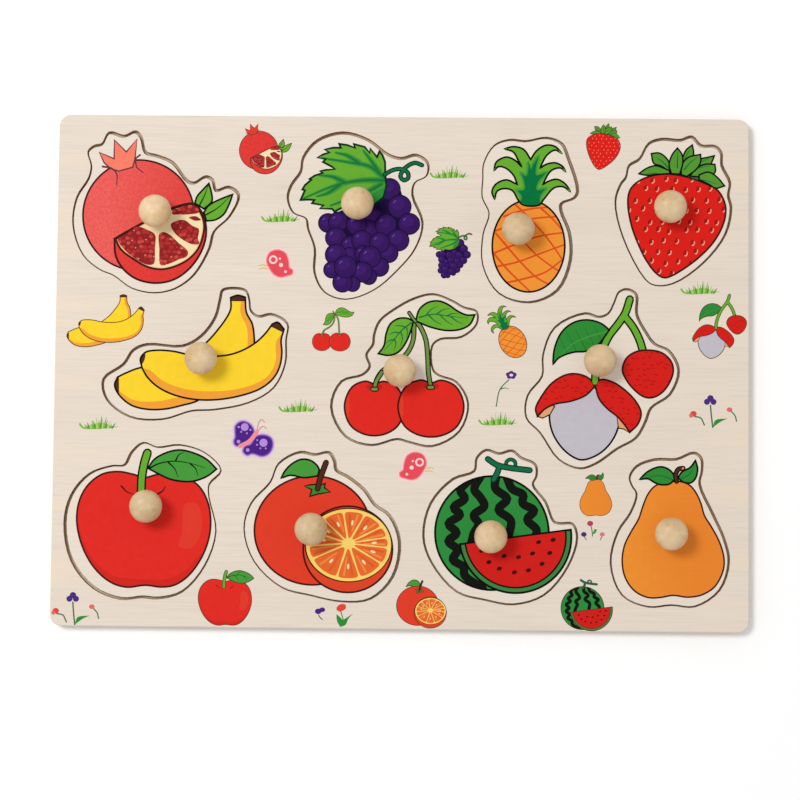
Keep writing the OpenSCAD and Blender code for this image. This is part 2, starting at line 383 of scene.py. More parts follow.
def turned_wood(name, shade):
    """Beech turned along its grain: pale, with short dark flecks."""
    look = Look(name, 0.42, 0.3)
    grain = look.noise((420, 420, 35), 4.0)
    fleck = look.noise((2600, 900, 260), 2.0, (5, 3, 1))
    bloom = look.noise((120, 120, 60), 2.0, (2, 2, 2))
    colour = look.over(tone("#DDBF95", shade), tone("#CDAA7B", shade), grain, 0.35, 0.68)
    colour = look.over(colour, tone("#E2C9A3", shade), bloom, 0.4, 0.75)
    look.colour(look.over(colour, tone("#A97F55", shade), fleck, 0.63, 0.76, 0.4))
    look.put(look.shader, "Roughness", look.between(grain, 0.3, 0.7, 0.36, 0.5))
    look.bump(grain, 0.15, 0.05)
    return look.material


def ink_look(name, code):
    """Printing ink on veneer: a little uneven, with the fibres of the wood showing through."""
    leathery = name in LEATHERY
    look = Look("ink_" + name, 0.5, 0.1 if leathery else 0.03)
    mottle = look.noise((1100, 1100, 300), 2.0) if leathery else look.noise((300, 300, 300), 5.0)
    fibre = look.noise((50, 1900, 300), 4.0)
    colour, deeper = tone(code, 1.02), tone(code, 0.92)
    if name in TWO_TONE:
        across = look.between(look.along("X"), *TONE_SPAN)
        colour = look.mix(across, colour, tone(TWO_TONE[name]))
        deeper = tone(TWO_TONE[name], 0.75 if leathery else 1.0)
    colour = look.over(colour, deeper, mottle, 0.35, 0.65, 0.4)
    if leathery:
        look.bump(mottle, 0.9, 0.15)
    else:
        look.bump(fibre, 0.15, 0.04)
    look.colour(look.over(colour, tone(code, 1.15), fibre, 0.5, 0.9, 0.25))
    look.put(look.shader, "Roughness", look.between(mottle, 0.3, 0.7, 0.42, 0.56))
    return look.material


# The inks of the pictures; some turn to a second tone towards +X, and the leathery ones show fine grain
TWO_TONE = {"pomegranate": "#E23F39", "rind": "#DE2F29", "pear": "#E8842F"}
TONE_SPAN = (-0.022, 0.012)
LEATHERY = ("pomegranate", "rind")
INKS = {
    "outline": "#0D0706", "fine": "#4E2E1C", "bark": "#3E140F", "bark_soft": "#5C3440",
    "tip": "#4C2A1C", "leaf": "#66AA30", "leaf_mid": "#46983A", "leaf_deep": "#2F8A34",
    "leaf_dark": "#1B7038", "vine": "#126A45", "vine_dark": "#0A2A1C", "stem": "#6E8F45", "teal": "#04713A",
    "sepal": "#549631",
    "pomegranate": "#EC5D57", "rind": "#E23630", "crown": "#F57C65",
    "aril_dark": "#8E2022", "aril": "#B02E2C", "aril_light": "#C6463F", "aril_shine": "#E09A8E",
    "pith": "#F0DDAE", "pith_warm": "#E9B98C",
    "grape": "#34145A", "grape_dark": "#180834", "grape_light": "#3C1A66", "grape_shine": "#5A3C8C",
    "pineapple": "#EE9334", "pineapple_line": "#D9501F",
    "strawberry": "#DA2019", "seed_dark": "#741110", "seed_light": "#EDA888", "seed_pit": "#A81A14",
    "banana": "#F8D12E", "banana_shade": "#EFA035",
    "cherry": "#DD2920", "cherry_dark": "#BE2019",
    "flesh": "#C1BBC4", "lychee": "#D4201A", "lychee_dark": "#AE1512", "salmon": "#E2A172",
    "apple": "#DE2B23", "apple_dark": "#CE271F", "apple_light": "#DE3A2B",
    "orange": "#DE3D27", "peel": "#DA4426", "zest": "#F5D06C",
    "segment": "#E4682E", "segment_dark": "#D65A24", "segment_light": "#EE8B42",
    "melon": "#2E8A3C", "melon_dark": "#121410", "rind_green": "#3C8240", "melon_flesh": "#CE201B",
    "pip": "#3A0E0B", "pear": "#EC9332",
    "grass": "#7FB53F", "grass_pale": "#B0CC78", "grass_dark": "#55903A",
    "violet": "#4B2182", "violet_soft": "#7D4FA8", "violet_pale": "#B28AD6",
    "pink": "#E44C58", "pink_soft": "#EF8E96", "pink_pale": "#F8D0D0", "halo": "#DCC6D4",
    "feeler": "#D8C274", "feeler_pink": "#C98F86",
    "petal": "#4C2E7C", "bud": "#D9483C", "bud_soft": "#DC6A66", "stalk": "#3F6E50",
    "rose": "#B83A58", "rose_soft": "#D4788C",
}
inks = {name: ink_look(name, code) for name, code in INKS.items()}
face_look = face_wood("board_face", "#E5D8C9", "#DACBBA", "#EAD8C2")
ground_look = face_wood("piece_face", "#E7DBCD", "#DDD0C0", "#E7D9C9")
wall_look = sawn_wood("sawn_wall", "#A07C60", "#C8A88A")
scorch_look = sawn_wood("scorched_edge", "#664634", "#967460")
edge_look = ply_edge("ply_rim")
backing_look = plain_ply("backing_ply")
# How pale the wood of a peg is, where it isn't 1
PEG_SHADES = {"pomegranate": 1.12, "pineapple": 0.94, "lychee": 0.95, "apple": 0.92, "orange": 0.9}


# Mesh pieces
def add_object(name, bm, looks):
    data = bpy.data.meshes.new(name)
    bm.to_mesh(data)
    bm.free()
    for look in looks:
        data.materials.append(look)
    made = bpy.data.objects.new(name, data)
    bpy.context.scene.collection.objects.link(made)
    return made


def cap_loops(node):
    """The outlines of a flat solid's top, the outer one first."""
    bm = bmesh.new()
    bm.from_mesh(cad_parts[node].data)
    bmesh.ops.remove_doubles(bm, verts=bm.verts, dist=SAME_POINT)
    top = max(v.co.z for v in bm.verts) - SAME_LEVEL
    cap = {f for f in bm.faces if all(v.co.z > top for v in f.verts)}
    following = {}
    for face in cap:
        for corner in face.loops:
            if sum(f in cap for f in corner.edge.link_faces) == 1:
                following[corner.vert] = corner.link_loop_next.vert
    loops = []
    while following:
        start = next(iter(following))
        line = []
        while start in following:
            line.append(start.co.xy / MM)
            start = following.pop(start)
        loops.append(line)
    bm.free()
    return sorted(loops, key=lambda line: min(p.x for p in line))


def is_corner(before, at, after):
    return math.degrees((at - before).angle(after - at)) > CREASE


def sheet(name, node, body, rim_round, looks):
    """A flat sheet like its solid, with rounded edges.

    Looks: face, underside, outer wall, outer edge, wall of the holes, edge of the holes.
    """
    low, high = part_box(node)
    z0, z1 = low.z / MM, high.z / MM
    used = list(dict.fromkeys(looks))
    bm = bmesh.new()
    undersides, faces = [], []
    for number, line in enumerate(cap_loops(node)):
        is_hole = number > 0
        wall, edge = looks[4:] if is_hole else looks[2:4]
        r = CUT_ROUND if is_hole else rim_round
        inwards = r if is_hole else -r
        inset = grown(line, inwards)
        eased = grown(line, ROUND_SHARE * inwards)
        levels = (
            (inset, z0), (eased, z0 + ROUND_SHARE * r), (line, z0 + r),
            (line, z1 - r), (eased, z1 - ROUND_SHARE * r), (inset, z1),
        )
        rows = [[bm.verts.new((p.x * MM, p.y * MM, z * MM)) for p in ring] for ring, z in levels]
        for lower, upper, look in zip(rows, rows[1:], (edge, edge, wall, edge, edge)):
            for i in range(-1, len(line) - 1):
                side = bm.faces.new((lower[i], lower[i + 1], upper[i + 1], upper[i]))
                side.smooth = True
                side.material_index = used.index(look)
            for i in range(-1, len(line) - 1):
                if is_corner(line[i - 1], line[i], line[i + 1]):
                    bm.edges.get((lower[i], upper[i])).smooth = False
        undersides.append((inset, rows[0]))
        faces.append((inset, rows[-1]))
    for rings, look, order in ((faces, looks[0], 1), (undersides, looks[1], -1)):
        lines = [line for line, _ in rings]
        corners = [v for _, row in rings for v in row]
        _, cells, origins, middles = triangles(lines)
        keep = covers(lines[0], middles)
        for line in lines[1:]:
            keep &= ~covers(line, middles)
        for cell, kept in zip(cells, keep):
            if kept:
                flat = bm.faces.new([corners[origins[k][0]] for k in cell[::order]])
                flat.material_index = used.index(look)
    made = add_object(name, bm, used)
    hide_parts(node)
    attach(made, body)


def lathe_profile():
    """Radius and height of the peg, from the bottom of the tenon up to the crown."""
    cove = FOOT_R - NECK_R
    head_z = PEG_H - math.sqrt(HEAD_R**2 - CROWN_R**2)
    line = [
        (0.0, -TENON_H), (TENON_R - TENON_EASE, -TENON_H), (TENON_R, -TENON_H + TENON_EASE), (TENON_R, 0.0),
        (FOOT_R - FOOT_LOW_EASE, 0.0), (FOOT_R, FOOT_LOW_EASE),
        (FOOT_R, FOOT_T - FOOT_TOP_EASE), (FOOT_R - FOOT_TOP_EASE, FOOT_T),
    ]
    for step in range(1, COVE_STEPS + 1):
        a = math.radians(90 * step / COVE_STEPS)
        line.append((FOOT_R - cove * math.sin(a), FOOT_T + cove * (1 - math.cos(a))))
    low = -math.degrees(math.acos(NECK_R / HEAD_R))
    high = math.degrees(math.acos(CROWN_OUTER * CROWN_R / HEAD_R))
    for step in range(HEAD_STEPS + 1):
        a = math.radians(low + (high - low) * step / HEAD_STEPS)
        line.append((HEAD_R * math.cos(a), head_z + HEAD_R * math.sin(a)))
    r, z = line[-1]
    flat_r = CROWN_INNER * CROWN_R
    for share in (0.25, 0.5, 0.75):
        line.append((r - share * (r - flat_r), z + (PEG_H - z) * (1 - (1 - share) ** 2)))
    return line + [(flat_r, PEG_H), (0.0, PEG_H)]


def peg(fruit, turn):
    """A turned peg with soft edges, standing on its piece."""
    low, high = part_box(fruit + "_peg")
    bm = bmesh.new()
    profile = [Vector(p) for p in lathe_profile()]
    rows = []
    for r, z in profile:
        angles = ring_angles(PEG_SIDES if r > 0 else 1)
        rows.append([bm.verts.new((r * MM * math.cos(a), r * MM * math.sin(a), z * MM)) for a in angles])
    for lower, upper in zip(rows, rows[1:]):
        for i in range(PEG_SIDES):
            j = (i + 1) % PEG_SIDES
            ring = [row[k % len(row)] for row, k in ((lower, i), (lower, j), (upper, j), (upper, i))]
            bm.faces.new(list(dict.fromkeys(ring))).smooth = True
    for k in range(1, len(profile) - 1):
        if is_corner(*profile[k - 1:k + 2]):
            for i in range(-1, PEG_SIDES - 1):
                bm.edges.get((rows[k][i], rows[k][i + 1])).smooth = False
    look = turned_wood("beech_" + fruit, PEG_SHADES.get(fruit, 1.0))
    made = add_object(fruit + "_knob", bm, [look])
    made.location = ((low.x + high.x) / 2, (low.y + high.y) / 2, high.z - PEG_H * MM)
    made.rotation_euler.z = math.radians(turn)
    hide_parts(fruit + "_peg")
    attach(made, fruit)
    return made


def print_on(name, picture, at, body, scale=1.0, turn=0.0, mirror=False):
    """Lays a picture on the printed face as a thin film of ink."""
    turned = rotation(turn)
    stretch = Vector((-scale if mirror else scale, scale))
    lines = [[turned @ (p * stretch) for p in line] for line, _, _ in picture.layers]
    inks_used = [ink for _, ink, _ in picture.layers]
    spots, cells, _, middles = triangles(lines)
    inside = [covers(line, middles) for line in lines]
    owner = np.full(len(cells), -1)
    for k, (_, _, within) in enumerate(picture.layers):
        owner[inside[k] if within is None else inside[k] & inside[within]] = k
    used = sorted({inks_used[k] for k in owner if k >= 0})
    bm = bmesh.new()
    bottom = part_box("top_board")[1].z + INK_GAP * MM
    corners = [bm.verts.new((p.x * MM, p.y * MM, bottom)) for p in spots]
    for cell, k in zip(cells, owner):
        if k >= 0:
            bm.faces.new([corners[i] for i in cell]).material_index = used.index(inks_used[k])
    bmesh.ops.delete(bm, geom=[v for v in bm.verts if not v.link_faces], context="VERTS")
    lifted = bmesh.ops.extrude_face_region(bm, geom=bm.faces[:], use_keep_orig=True)["geom"]
    top = [v for v in lifted if isinstance(v, bmesh.types.BMVert)]
    bmesh.ops.translate(bm, verts=top, vec=(0, 0, INK_T * MM))
    bmesh.ops.recalc_face_normals(bm, faces=bm.faces[:])
    made = add_object(name, bm, [inks[ink] for ink in used])
    made.location = (at[0] * MM, at[1] * MM, 0)
    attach(made, body)


# Fruit pictures, about the peg of their piece
def draw_pomegranate(p):
    skin, tuft = ("rind", "apple_light") if p.fine else ("pomegranate", "crown")
    p.shape(ellipse(-8.4, -0.4, 24.2, sides=72), skin, line_ink="bark")
    p.shape(polygon(
        (-26, 27), (-19.5, 24.3), (-19.5, 32.5), (-14.2, 27.3), (-9.6, 33.1), (-10.4, 24),
        (-11.3, 20.6), (-17.4, 18.8), (-21, 20), (-23.8, 22.5)), tuft, 0.6, "bark_soft")
    p.stroke([(-24.4, 20.8), (-20.5, 20), (-18.2, 17.5), (-18.2, 12.7)], 0.9, "bark_soft", 0.4)
    p.stroke([(-8.2, 26), (-10, 24.3), (-9.4, 20.5), (-6.6, 18.3)], 0.8, "bark_soft", 0.4)
    p.shape(corner_loop(
        [(-13, -7.4), (-7, -4), (5.5, 2.5), (12, 4.6), (15.4, 4.8), (18.7, 1.8), (20.9, -4), (20.9, -10.5),
         (18.4, -17.6), (13.5, -24.2), (7, -28.6), (-1, -30), (-9, -28.2), (-14.6, -24), (-18, -18.2),
         (-18.7, -10.8)]), "rind", 0.9, "bark")
    pith = corner_loop(
        [(-13, -7.7), (-7, -4.3), (5.5, 2.1), (12, 4.2), (15, 4.4), (18.2, 1.4), (20.2, -4), (19.7, -9.5),
         (17.7, -15), (13.8, -19.4), (8, -22.6), (2, -24), (-4, -23), (-10, -19.8), (-15.8, -15.4),
         (-18.2, -11)])
    p.shape(pith, "pith_warm", 0.9, "bark")
    p.fill(grown(pith, -0.8), "pith")
    cells = (
        [(-17.2, -11), (-13, -8.2), (-9, -5.4), (-4.6, -6.7), (-1.1, -8.8), (-1, -15), (-1.4, -21.6),
         (-4, -22.1), (-8.6, -20.1), (-13, -16.8), (-16.4, -13)],
        [(0.7, -8.6), (2.6, -7.7), (5.6, -9), (9, -12.2), (13.3, -16), (13, -18.2), (9.4, -19.7),
         (5.4, -21.5), (1.6, -22.2), (0.9, -15)],
        [(5.7, -4.4), (8, -2.8), (11.6, -2.4), (15, -4.8), (18, -6.4), (17.6, -10.4), (18.2, -12.7),
         (15.4, -13), (11, -11), (7.4, -8)],
        [(6.2, 0.2), (6.6, 2.1), (10, 3.2), (14, 4), (17.2, 3), (17.8, 1), (14, 0.1), (9, 0)],
        [(13.5, -1.2), (16.6, -0.7), (18.8, -2.3), (16, -2.6)],
    )
    for number, cell in enumerate(cells):
        area = p.fill(round_loop(*cell), "aril_dark")
        p.scatter(area, 2.0, ("aril", "aril", "aril_dark", "aril_light"), 0.95, 0.85, number)
        p.scatter(area, 3.6, ("aril_shine", "aril_light", "aril_light"), 0.35, 0.7, 10 + number)
    p.leaf("leaf", [(17, 8), (19.3, 10.8), (22, 13.7)], [(23.1, 10), (23.4, 5.8), (20, 2.6)], [(16, 5)],
           veins=([(18, 4), (20, 8), (21.8, 13)],), vein_ink="vine_dark")
    p.leaf("leaf", [(22, 4), (27, 6.8), (32.4, 9)],
           [(31, 4.8), (28.6, 0.2), (25, -2.2), (21.2, -2.7)], [(20, 1)],
           veins=([(21, 0), (26, 3), (31.6, 8.4)],), vein_ink="vine_dark")


def draw_grapes(p):
    p.fill(round_loop(
        (16, 11), (20, 2), (22, -7), (18, -16), (13, -22), (8, -28), (2, -32), (-6, -34),
        (-11, -28), (-11, -18), (-14, -8), (-8, -2), (6, 2)), "grape_dark")
    balls = (
        (13.5, 7.8, 4.8), (6.5, -5, 4.4), (18, 0.2, 5.1), (22.2, -7.3, 4.7), (4.5, -10, 4.2),
        (12.1, -7.8, 4.7), (17.5, -14.5, 4.8), (-13, -7.2, 4.2), (-8.6, -6.6, 4.3), (-0.6, -7.8, 4.5),
        (-9.5, -13.6, 4.6), (-3.2, -17, 4.2), (1.7, -14.6, 4.4), (13.4, -20.2, 4.2), (-3.5, -21.5, 3.8),
        (9.5, -15.6, 4.4), (2.5, -20.6, 3.8), (-9.4, -21, 4.7), (9.5, -26.2, 4.2), (5.4, -21.9, 4.8),
        (-11, -27.6, 3.7), (5, -30.5, 3.5), (2.1, -28.5, 4.5), (-2, -33.8, 3.3), (-6.4, -33.1, 4.3),
        (-5.2, -26.3, 4.9),
    )
    for x, y, r in balls:
        p.dot("grape_dark", x, y, r + 0.15, sides=28)
        p.dot("grape", x, y, r - 0.3, sides=28)
        p.dot("grape_light", x - 0.15 * r, y + 0.2 * r, 0.58 * r, 0.5 * r, 30, 16)
        p.dot("grape_shine", x - 0.42 * r, y + 0.42 * r, 0.2 * r, 0.09 * r, 45, 8)
    blade = p.shape(polygon(
        (11.6, 15.5), (11.5, 19.7), (10.3, 22.8), (9, 24.3), (8, 21.8), (5, 25.5), (4.8, 23.6), (2.6, 26.2),
        (-2.2, 27.5), (-1.6, 25.8), (-5, 27), (-8.5, 27.5), (-7.8, 25.8), (-11.2, 25.8), (-14.7, 25),
        (-12.8, 23.7), (-15.5, 22.8), (-18, 21.4), (-14.3, 20.8), (-15.5, 19.5), (-11.6, 17.5),
        (-10.3, 16.4), (-14.3, 16), (-16.6, 15.5), (-15.5, 14.7), (-19, 13.5), (-21.2, 12), (-20.5, 11.6),
        (-23.2, 9.3), (-24.3, 7.4), (-23.2, 7), (-25, 2.8), (-21.6, 3), (-19, 2.8), (-20, 1.4), (-15, 0.5),
        (-16.6, -0.9), (-11.2, -1), (-10.3, -2.2), (-7, -0.5), (0, -1.5), (6.5, 0.5), (11, 4.3), (12.2, 9),
        (11.8, 12.8)), "leaf", 0.9, "vine_dark")
    p.fill(round_loop((12, 15), (8.4, 13), (6.2, 8), (4.4, 1), (8, 0), (13, 5)), "leaf_deep", blade)
    veins = (
        [(12, 11.6), (2, 11.6), (-9, 9.6), (-23.6, 3.6)], [(11.4, 12.6), (5, 17.6), (-4, 19.4), (-16, 21.2)],
        [(9, 15), (5.6, 20), (2, 24.6)], [(10, 10), (3, 6), (-5, 3), (-12, 0.4)],
        [(-6, 10.6), (-11, 13), (-17, 13.6)], [(-8, 9.8), (-13, 6), (-18, 4.4)],
        [(0, 19.2), (-5, 22.4), (-10, 23.6)],
    )
    for width, ink in ((3.6, "leaf_mid"), (2.3, "leaf_deep"), (1.1, "leaf_dark")):
        for vein in veins:
            p.stroke(vein, width, ink, 0.3 * width, blade)
    p.branch([(11.4, 14.2), (15, 16.2), (18.5, 16.6), (21.3, 15.2), (21.6, 12.8), (19.8, 11.8),
              (18.3, 13.2), (18.9, 15.4), (21, 17.8), (24.5, 19.4), (27.6, 18.4)], 1.0, "vine", "vine_dark")


def draw_pineapple(p):
    body = p.shape(ellipse(4.8, -6, 15.7, 20, sides=64), "pineapple")
    lines = (
        [(-6, 6.8), (1, 9.2), (7, 10.4), (13.4, 11)], [(-10.5, 0.2), (-1, 3.6), (7, 6), (18, 7)],
        [(-11, -9.6), (-3, -6.2), (5.5, -2.8), (13, -1), (20.5, 0)],
        [(-10.5, -15.4), (0, -13), (9, -9.6), (21, -5)], [(-6, -22.4), (4, -20), (12, -17.4), (20, -11.4)],
        [(-11, -8.4), (-5, -15.5), (1, -21.5), (5.4, -25.6)],
        [(-9.4, -0.6), (-5, -5.7), (1, -12.6), (8, -19.4), (15, -23.4)],
        [(-4, 2.8), (3, -4.5), (9, -10.5), (19.6, -18)],
        [(-2, 13), (1.5, 9.7), (7, 4.3), (14, -4), (20.4, -13.2)], [(10.4, 10.2), (14, 7), (20.4, 0)],
    )
    for line in lines:
        p.stroke(line, 0.9, "pineapple_line", 0.7, body)
    green = p.shape(corner_loop(
        [(-2.4, 18.2), (-6, 19), (-9, 17.8), (-10, 14.2)],
        [(-11.2, 17.6), (-9.4, 21), (-5, 22.8), (-0.2, 20.8)],
        [(-2, 25), (-5.4, 28), (-8.4, 28.6), (-10.4, 26.8)],
        [(-9.4, 30.6), (-5, 32.8), (-1, 31.2), (1.8, 28.3)],
        [(0, 31.6), (-2, 35), (-6, 36.4)], [(-2, 37.4), (2.4, 36.2), (5.5, 31.8)],
        [(8, 35.6), (12, 38.1), (16, 37.6), (19.3, 34.4)], [(16, 36), (12.4, 33.6), (9.4, 27.9)],
        [(12.4, 29.8), (16.4, 30.4), (19.4, 28.8), (20.8, 26.4)], [(18.4, 28.2), (14.4, 27), (10.6, 20.7)],
        [(13.4, 22.4), (17, 23.2), (20.6, 21.2), (23, 17.6)], [(19.6, 20), (15.6, 19.4), (11, 14.1)],
        [(9.6, 12.1), (5.4, 11.4), (1.8, 12.2), (0, 14.3)]), "leaf", 0.8)
    heart = corner_loop(
        [(1.8, 15.4), (-0.2, 18.2)], [(2.8, 18.6), (2.6, 22.6), (1.2, 26)],
        [(3.6, 24.6), (4.4, 27), (4.6, 31)], [(5.6, 27.4)], [(6.8, 30), (9, 33.4)],
        [(7.8, 28), (8, 25), (12.6, 26.4)], [(8.6, 21.6), (8.2, 18.6), (12, 19)],
        [(9.6, 15.6), (9.8, 12.4)], [(5.4, 11.6), (1, 13)])
    p.fill(grown(heart, 0.9), "leaf_mid", green)
    p.fill(heart, "teal", green)


def draw_strawberry(p):
    body = p.shape(round_loop(
        (-17.4, 3.5), (-16.4, 8.8), (-13, 12.4), (-7, 15), (0, 15.8), (8, 14.6), (16, 11.8), (21.5, 8.8),
        (24.6, 3), (24.8, -2), (23, -8), (19, -14.6), (12.5, -21.2), (6, -26), (1.5, -28.6), (-1.5, -29.4),
        (-4.5, -28), (-9, -22.5), (-13, -14.5), (-16, -6)), "strawberry", line_ink="bark")
    across, up = 5.8, 4.5
    shake = random.Random(4)
    for row in range(10):
        for column in range(9):
            x = -22 + across * column + across / 2 * (row % 2) + shake.uniform(-0.9, 0.9)
            y = -27 + up * row + shake.uniform(-0.8, 0.8)
            if p.fine:
                p.dot("crown", x, y, 0.9, 0.6, 70, 10, within=body)
            else:
                p.dot("seed_dark", x, y, 1.3, 0.85, 70, 14, within=body)
                p.dot("seed_light", x + 0.25, y - 0.25, 1.15, 0.7, 70, 14, within=body)
                p.dot("seed_pit", x, y, 0.95, 0.55, 70, 12, within=body)
    p.fill(corner_loop([(-6, 17), (0, 18.4), (8, 19), (15, 18.4), (21, 13)], [(21, 10.2)],
                       [(15, 12.6), (8, 15), (0, 16.2), (-8, 15.6)]), "leaf_dark")
    sepals = (
        ([(14.2, 22.4), (17, 23.2), (20, 24)], [(19, 21.4), (18, 18.6)], [(13, 18)]),
        ([(6.2, 22.4), (7.8, 26.4), (10.4, 28.6)], [(11, 25.4), (10.6, 20)], [(6, 18)]),
        ([(12.4, 18.6), (16, 20.2), (20.2, 20.2)], [(20.4, 17), (18, 14.4)], [(9.4, 15)]),
        ([(17.6, 16.8), (21.4, 14.4), (24.4, 10.8)], [(20.6, 9.8), (17.4, 11.6), (13.4, 13.4)],
         [(13.4, 15.6)]),
        ([(6, 20), (8.8, 23.2), (14, 24.5)], [(14, 21), (12, 17.8), (8, 14.8)], [(5.6, 15.6)]),
        ([(-3, 19.3), (-6.2, 20.4), (-7.3, 24.7)], [(-4, 25), (-1.2, 23.2), (0.6, 20.4), (1, 16.4)]),
        ([(0.4, 20), (1.8, 24.4), (4, 27.2)], [(6, 24.4), (6.3, 20.6), (5, 15.8)], [(1.4, 16)]),
        ([(-5, 15.6), (-9, 15.2), (-12.8, 15.8)], [(-9.4, 18.2), (-5.4, 19.4), (0.4, 17.4)], [(0.8, 16)]),
    )
    root = Vector((4, 15))
    for sepal in sepals:
        tip = Vector(sepal[0][-1])
        rib = [root.lerp(tip, 0.3), root.lerp(tip, 0.6) + Vector((0, 0.6)), root.lerp(tip, 0.85)]
        p.leaf("sepal", *sepal, veins=(rib,), width=0.7)


def draw_banana(p):
    rear = p.shape(corner_loop(
        [(-33, -5.6), (-26, -3.2), (-10, -4), (4, -12)],
        [(-2, -17.4), (-9, -19.6), (-16, -21.2), (-24, -21.4), (-31, -19.6), (-36.4, -15), (-38.2, -11),
         (-37, -7.6)]), "banana")
    p.fill(corner_loop(
        [(-30, -17.4), (-20, -18), (-11, -16.2), (4, -14)],
        [(0, -24), (-34, -24), (-39, -14), (-36.6, -13.4)]), "banana_shade", rear)
    p.fill(polygon((-40, -6), (-36.4, -7), (-36.2, -15.4), (-40, -16)), "tip", rear)
    back = p.shape(corner_loop(
        [(11.6, 22.5), (9.8, 18.5), (6.5, 13.8), (1.5, 8), (-6, 2)], [(22, 2)],
        [(22, 9), (21, 16), (18.4, 21), (17.8, 27.6)], [(14.5, 28.4), (11.5, 27.4)]), "banana")
    p.fill(corner_loop(
        [(15.8, 21), (18.8, 14), (19, 2)], [(24, 2)], [(24, 16), (19, 29)], [(16.6, 29)]),
        "banana_shade", back)
    p.fill(polygon((10, 29), (10, 25.8), (18.6, 25.8), (18.6, 29)), "tip", back)
    front = p.shape(corner_loop(
        [(-26.6, -2.8), (-27.2, 0.5), (-25, 3.3), (-20, 4.2), (-13, 3.8), (-5, 2.2), (6, 1.9), (12, 2.7),
         (18, 5), (23, 8.2), (27, 12.2), (29.7, 16)], [(32, 16.8), (34.8, 13.8)],
        [(33.6, 9), (34, 3.5), (33, -2.8), (30.2, -7.8), (25, -12), (17, -15), (7, -16.9), (-3, -17),
         (-12, -15.2), (-19, -12), (-24, -7.6), (-26.4, -3.6)]), "banana")
    p.fill(corner_loop(
        [(31.4, 8), (31.4, 0), (28, -6.6), (21, -10.6), (12, -12.8), (2, -13.4), (-8, -12.4), (-17, -9.2),
         (-24, -4), (-28, -4)], [(-20, -20), (0, -20), (30, -14), (38, 0), (34, 12)]),
        "banana_shade", front)
    p.fill(polygon((28, 15.4), (33, 19), (36, 14), (34, 12.6)), "tip", front)
    p.dot("tip", -27, 0.4, 1.6, 3.4, -20, within=front)


def draw_cherries(p):
    stem = 1.3
    p.branch([(-11, -6.5), (-10, -3), (-7.4, 0.8), (-2, 4), (3, 8.6), (5.4, 14), (5.8, 22)], stem, "stem")
    for x, y, rx, ry in ((-11, -15.4, 12.9, 11.5), (13.4, -15.2, 14.2, 12)):
        ball = p.shape(round_loop(
            (x - rx, y + 1), (x - 0.75 * rx, y + 0.78 * ry), (x - 0.3 * rx, y + ry), (x, y + 0.9 * ry),
            (x + 0.3 * rx, y + ry), (x + 0.75 * rx, y + 0.78 * ry), (x + rx, y + 1),
            (x + 0.8 * rx, y - 0.65 * ry), (x + 0.3 * rx, y - ry), (x - 0.3 * rx, y - ry),
            (x - 0.8 * rx, y - 0.65 * ry)), "cherry", line_ink="bark")
        p.dot("cherry_dark", x, y + 0.78 * ry, 3.4, 1.6, within=ball)
        p.dot("apple_light", x - 0.93 * rx, y, 0.1 * rx, 0.55 * ry, within=ball)
    p.branch([(-11, -7), (-10.4, -4.2), (-8, 0)], stem, "stem")
    p.branch([(13.2, -6), (12.2, 0), (11.8, 7), (11, 14), (9, 19), (6.6, 22.6)], stem, "stem")
    for x, y in ((-11, -7.3), (13.2, -6.3)):
        p.branch([(x - 0.8, y), (x + 0.8, y)], stem, "stem")
    p.leaf("leaf", [(3, 23.5), (-1, 23.4), (-4.5, 21), (-6.3, 16.5), (-7.1, 11.6), (-9.5, 8.1)],
           [(-5, 7.4), (-1, 8.8), (2, 12.5), (4.2, 17.5), (5.5, 22.3)],
           veins=([(4.6, 21.6), (0.6, 18.4), (-3, 14), (-7, 9.6)],
                  [(2, 19.7), (-0.6, 20.4), (-2.6, 20.2)], [(-0.6, 17.2), (-3, 17.4), (-5, 16.4)],
                  [(-2.8, 14.2), (-4.8, 13.8), (-6.2, 12.6)], [(2.4, 20), (3, 17.4), (2.6, 15)],
                  [(0, 17.8), (0.8, 14.8), (0, 11.6)], [(-2.6, 14.6), (-2, 12), (-3, 9.6)]))
    p.leaf("leaf", [(8, 27.4), (11.5, 30.4), (16, 31.2), (20, 29.9), (25, 26.6), (28.5, 25.2), (32, 25.3)],
           [(30, 21.2), (26, 19), (20, 18.4), (13, 19.8), (6.5, 22.4)],
           veins=([(8, 24), (14, 25.4), (21, 24.6), (29, 23.9)],
                  [(11, 24.9), (13, 27.4), (16, 29)], [(15.5, 25.4), (18, 27.3), (21, 28)],
                  [(20, 24.7), (22.4, 25.8), (25, 25.6)], [(12, 25.1), (14.6, 22.6), (17.6, 21)],
                  [(16.8, 25.3), (19.6, 22.6), (22.6, 20.8)], [(21.6, 24.5), (24.4, 22.4), (27, 21.4)]))
    p.branch([(3.6, 26), (5, 23.9), (6.4, 22.2)], 0.8, "stem")


